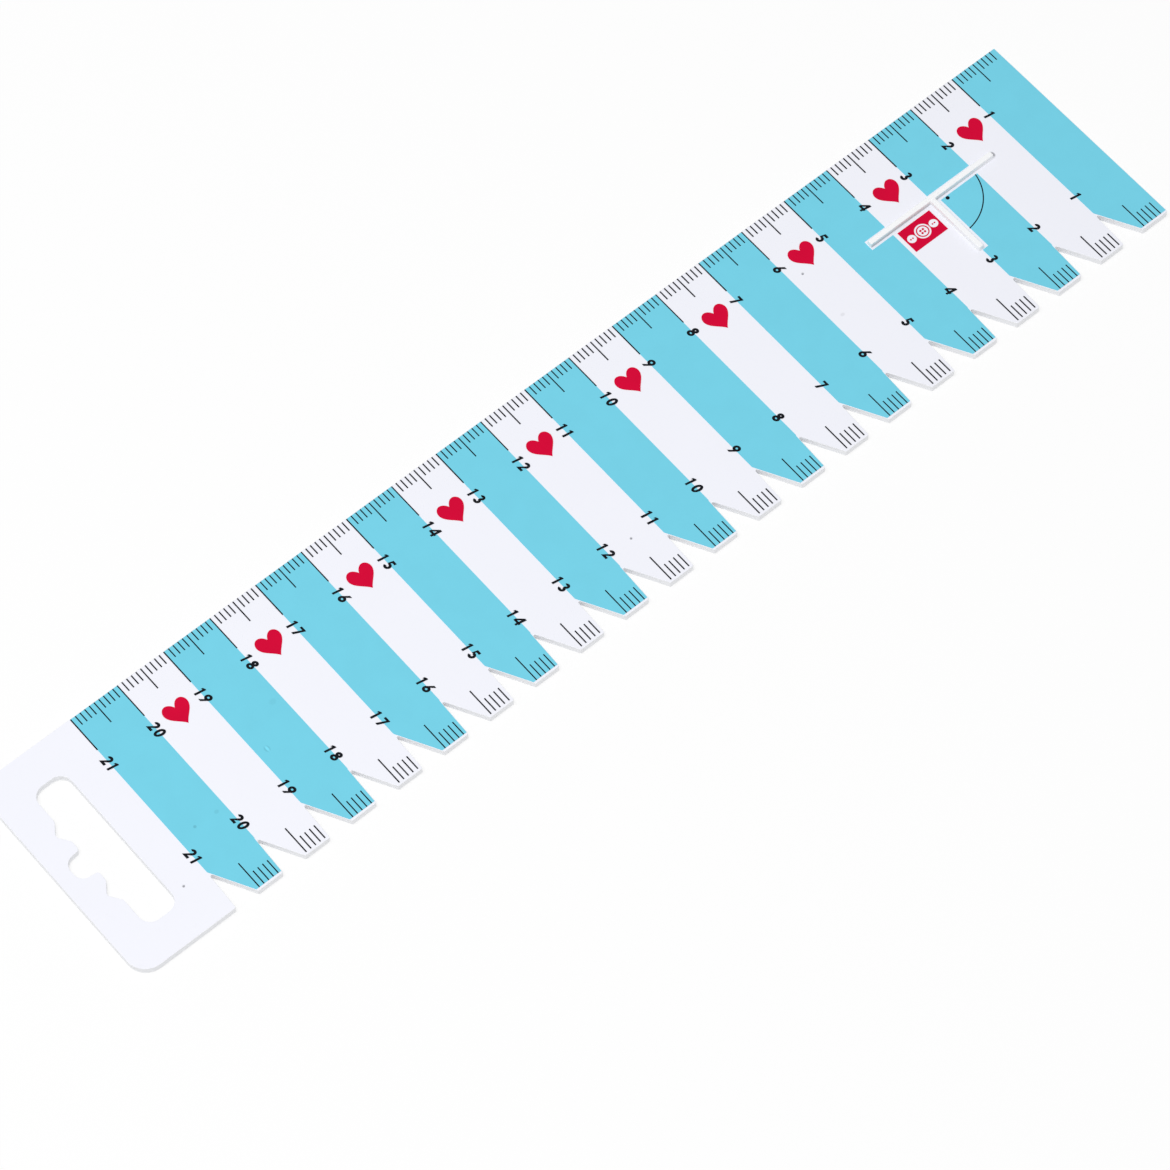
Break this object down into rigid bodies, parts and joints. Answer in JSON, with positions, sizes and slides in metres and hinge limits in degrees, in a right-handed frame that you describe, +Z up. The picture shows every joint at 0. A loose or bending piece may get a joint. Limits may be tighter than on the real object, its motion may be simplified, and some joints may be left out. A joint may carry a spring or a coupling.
{
  "type": "sewing gauge",
  "caption": "Flat plastic hand gauge with a centimetre scale, saw-tooth marking edge, raised T rib and hanging tab.",
  "frame": {"origin": "middle of the plate's rectangle, on its underside", "axes": "+X along the scale towards its zero end, +Y across the plate towards the straight scale edge, +Z up out of the printed face"},
  "size_m": [0.2304, 0.0462, 0.0025],
  "materials": {
    "white_plastic": "satin injection-moulded white polystyrene",
    "turquoise_ink": "screen-printed turquoise film, satin",
    "red_ink": "screen-printed red film, satin",
    "black_ink": "screen-printed black film, matt"
  },
  "bodies": {
    "root": {"gauge_plate": "white_plastic", "t_grip_rib": "white_plastic", "turquoise_stripe_01": "turquoise_ink", "turquoise_stripe_02": "turquoise_ink", "turquoise_stripe_03": "turquoise_ink", "turquoise_stripe_04": "turquoise_ink", "turquoise_stripe_05": "turquoise_ink", "turquoise_stripe_06": "turquoise_ink", "turquoise_stripe_07": "turquoise_ink", "turquoise_stripe_08": "turquoise_ink", "turquoise_stripe_09": "turquoise_ink", "turquoise_stripe_10": "turquoise_ink", "turquoise_stripe_11": "turquoise_ink", "red_heart_01": "red_ink", "red_heart_02": "red_ink", "red_heart_03": "red_ink", "red_heart_04": "red_ink", "red_heart_05": "red_ink", "red_heart_06": "red_ink", "red_heart_07": "red_ink", "red_heart_08": "red_ink", "red_heart_09": "red_ink", "red_heart_10": "red_ink", "millimetre_lines": "black_ink", "half_centimetre_lines": "black_ink", "centimetre_lines": "black_ink", "tooth_millimetre_lines": "black_ink", "tooth_half_centimetre_lines": "black_ink", "upper_numerals": "black_ink", "lower_numerals": "black_ink", "right_angle_arc": "black_ink", "right_angle_dot": "black_ink", "red_button_panel": "red_ink"}
  },
  "joints": []
}
